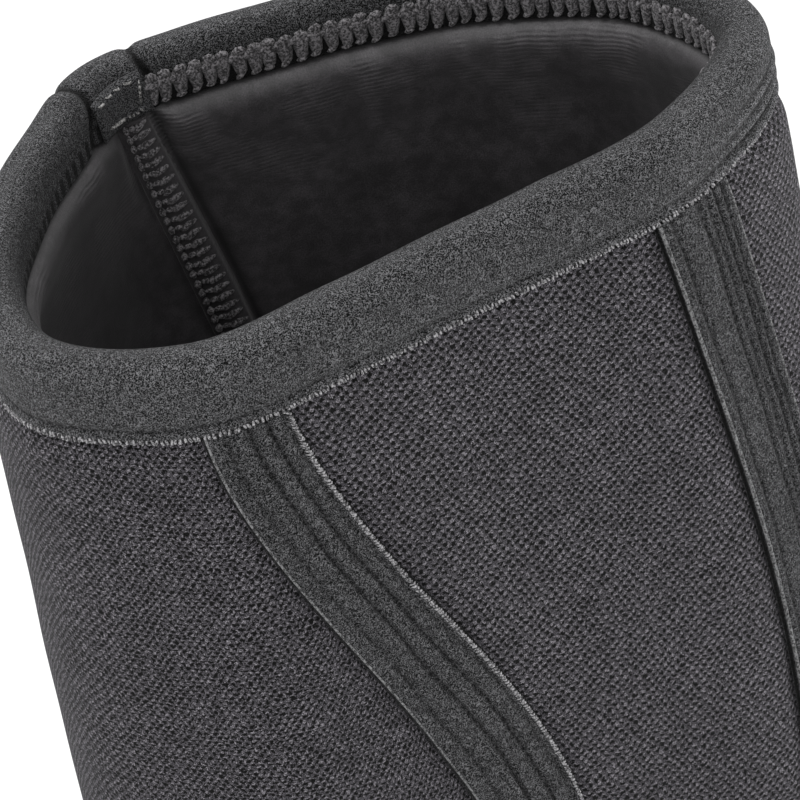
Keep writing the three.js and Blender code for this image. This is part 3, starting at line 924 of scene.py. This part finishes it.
def arch(width, height, steps=6, slant=0.0, dip=0.0):
    """A path of one rung: from one side to the other in an arch, a parabola between its feet."""
    t = np.linspace(-1, 1, steps)
    return np.stack([slant * t, width / 2 * t, height * (1 - t**2) - dip], -1)


def flattened(shape, share):
    """A shape pressed towards the wall by a share."""
    points, faces = shape
    return points * [1, 1, share], faces


# A rung of the rim overlock, thickest past its middle, and the knots at its ends
RUNG = flattened(capsule(arch(5.8, 0.5, 8, 0.3, 0.0), [1.1, 1.15, 1.2, 1.35, 1.5, 1.55, 1.5, 1.2]),
                 0.5)
BEAD = flattened(capsule([(-1.3, 0.1, 0), (-0.5, 0.3, 0.4), (0.4, 0.25, 0.4), (1.3, -0.1, 0)],
                         0.85), 0.7)
SMALL_BEAD = flattened(capsule([(-1.0, -0.1, 0.0), (-0.3, 0.1, 0.3), (0.4, 0.1, 0.3),
                                (1.0, -0.05, 0)], 0.58), 0.8)


class SLEEVE_OT_rim_overlock(Operator):
    """Sews the ladders of overlock rungs inside both rims"""

    bl_idname = "sleeve.rim_overlock"
    bl_label = "Rim overlock"

    def execute(self, context):
        pitch = millimetres(context.scene.sleeve_sizes.rung_pitch)
        colour = context.scene.sleeve_colours.overlock
        thread = spun_thread("textured polyester overlock thread", colour)
        rng = np.random.default_rng(43)
        for name, at_top in (("upper_overlock", True), ("lower_overlock", False)):
            rim = HEIGHT if at_top else 0.0
            sign = -1.0 if at_top else 1.0
            count = int(girth(rim) / pitch)
            share = (np.arange(count) + rng.uniform(-0.08, 0.08, count)) / count
            if at_top:
                back = round_from_back(share, rim)
                share = share[((back < -8.2) | (back > 11.8)) & (rung_length(share, True) > 0.5)]
            n = len(share)
            wobble = rng.uniform(-0.18, 0.18, n)
            short = rung_length(share, at_top)
            step = pitch / girth(rim)
            lean = 0.12 + rng.uniform(-0.12, 0.12, n)
            parts = [repeat(RUNG, share, rim + sign * (9.8 - 2.8 * short) + wobble,
                            BINDING_SKIN - 0.12,
                            tall=-sign * short, lean=lean, inside=True)]
            # The knots: how far round and down they sit, how much they stray, and how they lean
            for shape, along, down, stray, out, turn, spread in (
                    (BEAD, -0.1, 9.7 - 5.0 * short, 2, 0.1, 0.3, 0.5),
                    (SMALL_BEAD, 0.45, 9.9 - 4.3 * short, -1, 0.3, -0.5, 0.5),
                    (SMALL_BEAD, 0.1, 9.7, 1, -0.05, -0.25, 0.3)):
                parts.append(repeat(shape, share + along * step,
                                    rim + sign * down + stray * wobble, BINDING_SKIN + out,
                                    lean=turn + rng.uniform(-spread, spread, n), inside=True))
            piece = add_piece(name, *joined(parts), [thread])
        return {"FINISHED"}


class SLEEVE_OT_back_seam(Operator):
    """Builds the overlocked back seam inside and the plain closing stitch outside"""

    bl_idname = "sleeve.back_seam"
    bl_label = "Back seam"

    def execute(self, context):
        pitch = millimetres(context.scene.sleeve_sizes.seam_pitch)
        colours = context.scene.sleeve_colours
        thread = spun_thread("textured polyester seam thread", colours.overlock)
        low = INNER_LEG + 1.0
        rows = np.linspace(low, HEIGHT - low, 300)[:, None]
        t = (crowd(28, 0.4) * 2 - 1)[None]
        across = t * BAND_HALF
        crown = 1.35 * (1 - smooth(np.abs(t), 0.72, 1.0)) + 0.15
        ribs = 0.16 * np.sin(2 * np.pi * rows / pitch) * smooth(-t, -0.6, 0.2)
        body = np.minimum(crown, 0.35 + 1.2 * smooth(-across, -3.2, 2.5)) + ribs
        share = beside_seam("back", rows, across)
        height = np.broadcast_to(rows, share.shape)
        points = both_faces(place(share, height, -(SKIN + body)),
                            place(share, height, -(SKIN - 0.35) + 0 * share))
        core = add_piece("back_seam_fold", points, strip_faces(*share.shape),
                         [fine_fold(colours.lining)])
        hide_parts("back_seam")
        rng = np.random.default_rng(47)
        along = np.arange(low + 1.0, HEIGHT - low - 1.0, pitch)
        n = len(along)
        tilt = seam_tilt("back", along)
        parts = []
        rung = flattened(capsule(arch(4.4, 0.3, 6, 0.3), [0.6, 0.75, 0.8, 0.75, 0.65, 0.5]), 0.8)
        loop = capsule([(0, -0.8, 0), (0, -0.3, 0.35), (0, 0.3, 0.35), (0, 0.8, 0)], 0.78)
        for shape, side, out, turn in ((rung, -1.0, 1.05, math.pi / 2), (loop, 2.9, 0.85, 0.35),
                                       (SMALL_BEAD, 1.3, 1.25, 0.2)):
            level = along + rng.uniform(-0.12, 0.12, n)
            lean = tilt + turn + rng.uniform(-0.12, 0.12, n)
            parts.append(repeat(shape, beside_seam("back", level, side), level, SKIN + out,
                                lean=lean, inside=True))
        stitches = add_piece("back_seam_overlock", *joined(parts), [thread])
        along = np.arange(OUTER_LEG + 1.5, HEIGHT - OUTER_LEG - 1.5, 2.4)
        cross = capsule(arch(2.6, 0.3, 6, 0.5), 0.24)
        shown = repeat(cross, seam_share("back", along), along, WALL / 2 - 0.75,
                       lean=seam_tilt("back", along) + math.pi / 2)
        outside = add_piece("back_seam_closing_stitch", *shown, [thread])
        return {"FINISHED"}


def crown_depth(down):
    """How far in the upper binding's skin stands at a distance down from the rim: half the flat
    of the crown and the chord of its quarter circle."""
    radius = BINDING_SKIN - UPPER_FLAT / 2
    return UPPER_FLAT / 2 + np.sqrt(np.maximum(radius**2 - np.maximum(radius - down, 0) ** 2, 0))


class SLEEVE_OT_join(Operator):
    """Builds the lapped join of the upper binding, inside at the back, with its bar tack"""

    bl_idname = "sleeve.join"
    bl_label = "Binding join"

    def execute(self, context):
        colours = context.scene.sleeve_colours
        nap = [0.8 * c for c in colours.nap]
        cloth = brushed_cloth("brushed nylon binding at the join", (*linear(0x161617), 1),
                              (*nap, 1), contrast=0.2, sheen=0.04)
        back = SEAMS["back"][0]
        u = crowd(36, 0.6)[None]
        v = crowd(26, 0.6)[:, None]
        around = -6.6 + JOIN_LENGTH * u - 1.5 * v
        down = 1.9 + JOIN_WIDTH * v + 0.6 * u
        edge = np.minimum(np.minimum(u, 1 - u) * JOIN_LENGTH, np.minimum(v, 1 - v) * JOIN_WIDTH)
        lift = 0.55 * smooth(edge, 0, 0.9) + 0.12 * waves(around, down, 29, 9)
        share = back + around / girth(HEIGHT)
        skin = crown_depth(down) + 0.8 * (1 - smooth(np.abs(around), 9, 24))
        points = both_faces(place(share, HEIGHT - down, -(skin + lift)),
                            place(share, HEIGHT - down, -(skin - 0.5)))
        patch = add_piece("binding_join", points, strip_faces(*share.shape), [cloth])
        thread = spun_thread("bright polyester bar tack thread", linear(0x757473))
        # Each stitch: its path, its radius, and where copies lie round, down and leaning
        table = (
            ([(-1.15, 0, -0.25), (-0.7, 0, 0.1), (0, 0, 0.16), (0.7, 0, 0.1), (1.15, 0, -0.25)],
             0.3, ((7.6, 3.2, 0.1), (4.0, 3.0, 0.1), (0.4, 2.9, 0.1), (-3.2, 2.8, 0.1))),
            ([(0, -2.6, -0.2), (0.15, -1.3, 0.15), (0.2, 0, 0.2), (0.15, 1.3, 0.15),
              (0, 2.6, -0.2)], 0.3, ((-5.6, 5.5, 0.15),)),
            ([(-3.5, 0, -0.25), (-2.4, 0, 0.12), (0, 0, 0.25), (2.4, 0, 0.12), (3.5, 0, -0.25)],
             0.36, ((3.1, 9.0, 0.05),)),
            ([(-0.45, 0, -0.1), (-0.15, 0, 0.15), (0.15, 0, 0.15), (0.45, 0, -0.1)],
             0.28, ((-1.3, 9.2, 0.0), (-2.5, 9.3, 0.1), (-3.8, 9.2, 0.2), (-5.0, 8.9, 0.3))),
        )
        parts = []
        for stitch, radius, spots in table:
            around, down, lean = np.array(spots).T
            parts.append(repeat(capsule(stitch, radius), back + around / girth(HEIGHT),
                                HEIGHT - down, crown_depth(down) + 0.8 + 0.62, lean=lean,
                                inside=True))
        tack = add_piece("bar_tack", *joined(parts), [thread])
        return {"FINISHED"}


# The camera as fitted to the photograph: bearing, height angle, distance to the rim's middle,
# then the turns of the camera about its own axes, and the focal length in pixels of an 800 frame
CAMERA_BEARING = -24.0
CAMERA_ELEVATION = 31.95
CAMERA_DISTANCE = 908.0
CAMERA_PAN = -0.54
CAMERA_TILT = -3.25
CAMERA_ROLL = 12.09
CAMERA_FOCAL = 5224.0


def turned(vector, axis, degrees):
    """A vector turned about an axis: its part along it stays, the rest turns in its plane."""
    a = math.radians(degrees)
    return (vector * math.cos(a) + np.cross(axis, vector) * math.sin(a)
            + axis * (axis @ vector) * (1 - math.cos(a)))


def stand(thing, right, up, ahead, spot):
    """Puts a camera or a lamp at a spot with its own right, up and ahead."""
    turn = np.stack([right, up, -ahead], 1)
    thing.matrix_world = Matrix([*([*row, s] for row, s in zip(turn, spot)), [0, 0, 0, 1]])
    bpy.context.scene.collection.objects.link(thing)


class SLEEVE_OT_stage(Operator):
    """Sets the pale floor, the soft studio light and the camera"""

    bl_idname = "sleeve.stage"
    bl_label = "Stage"

    def execute(self, context):
        scene = context.scene
        scene.view_settings.view_transform = "Standard"
        mesh = bpy.data.meshes.new("floor")
        mesh.from_pydata([(-6, -6, 0), (6, -6, 0), (6, 6, 0), (-6, 6, 0)], [], [(0, 1, 2, 3)])
        mesh.materials.append(painted_board())
        floor = bpy.data.objects.new("floor", mesh)
        scene.collection.objects.link(floor)
        world = bpy.data.worlds.new("white studio")
        world.use_nodes = True
        sky = world.node_tree.nodes["Background"].inputs
        sky["Color"].default_value = (1, 1, 1, 1)
        sky["Strength"].default_value = 0.75
        scene.world = world
        for name, spot, side, power in (("overhead softbox", (-0.25, 0.35, 1.5), 1.4, 16.0),
                                        ("front softbox", (-0.9, -1.3, 1.1), 1.0, 6.0),
                                        ("right softbox", (1.35, -0.25, 0.2), 0.6, 11.0)):
            light = bpy.data.lights.new(name, "AREA")
            light.shape = "SQUARE"
            light.size = side
            light.energy = power
            aim = np.array([0.0, 0.0, 0.2]) - np.array(spot)
            aim /= np.linalg.norm(aim)
            right = np.cross(aim, [0, 0, 1.0])
            right /= np.linalg.norm(right)
            stand(bpy.data.objects.new(name, light), right, np.cross(right, aim), aim, spot)
        e = math.radians(CAMERA_ELEVATION)
        spot = CAMERA_DISTANCE * np.array([0, -math.cos(e), math.sin(e)])
        ahead = np.array([0, math.cos(e), -math.sin(e)])
        right = np.array([1.0, 0, 0])
        up = np.cross(right, ahead)
        ahead, right = turned(ahead, up, CAMERA_PAN), turned(right, up, CAMERA_PAN)
        ahead, up = turned(ahead, right, CAMERA_TILT), turned(up, right, CAMERA_TILT)
        right, up = turned(right, ahead, CAMERA_ROLL), turned(up, ahead, CAMERA_ROLL)
        axis = np.array([0, 0, 1.0])
        spot, ahead, right, up = (turned(v, axis, CAMERA_BEARING) for v in (spot, ahead, right, up))
        spot = (spot + np.array([*AXIS, HEIGHT])) * 0.001
        data = bpy.data.cameras.new("camera")
        data.sensor_width = 36.0
        data.lens = CAMERA_FOCAL * 36.0 / 800
        camera = bpy.data.objects.new("camera", data)
        stand(camera, right, up, ahead, spot)
        scene.camera = camera
        return {"FINISHED"}


STEPS = (SLEEVE_OT_walls, SLEEVE_OT_bindings, SLEEVE_OT_tapes, SLEEVE_OT_edge_stitches,
         SLEEVE_OT_rim_overlock, SLEEVE_OT_back_seam, SLEEVE_OT_join, SLEEVE_OT_stage)


class SLEEVE_PT_sidebar(Panel):
    """Lists the steps and the sizes and colours they use"""

    bl_label = "Knee sleeve"
    bl_space_type = "VIEW_3D"
    bl_region_type = "UI"
    bl_category = "Sleeve"

    def draw(self, context):
        """Shows every size and colour, and a button for every step."""
        for group in (context.scene.sleeve_sizes, context.scene.sleeve_colours):
            for key in group.__annotations__:
                self.layout.prop(group, key)
        for step in STEPS:
            self.layout.operator(step.bl_idname)


CLASSES = (SleeveSizes, SleeveColours, *STEPS, SLEEVE_PT_sidebar)


def register():
    for cls in CLASSES:
        bpy.utils.register_class(cls)
    bpy.types.Scene.sleeve_sizes = PointerProperty(type=SleeveSizes)
    bpy.types.Scene.sleeve_colours = PointerProperty(type=SleeveColours)


def unregister():
    del bpy.types.Scene.sleeve_colours
    del bpy.types.Scene.sleeve_sizes
    for cls in reversed(CLASSES):
        bpy.utils.unregister_class(cls)


def main():
    register()
    for step in STEPS:
        group, call = step.bl_idname.split(".")
        getattr(getattr(bpy.ops, group), call)()


if __name__ == "__main__":
    main()
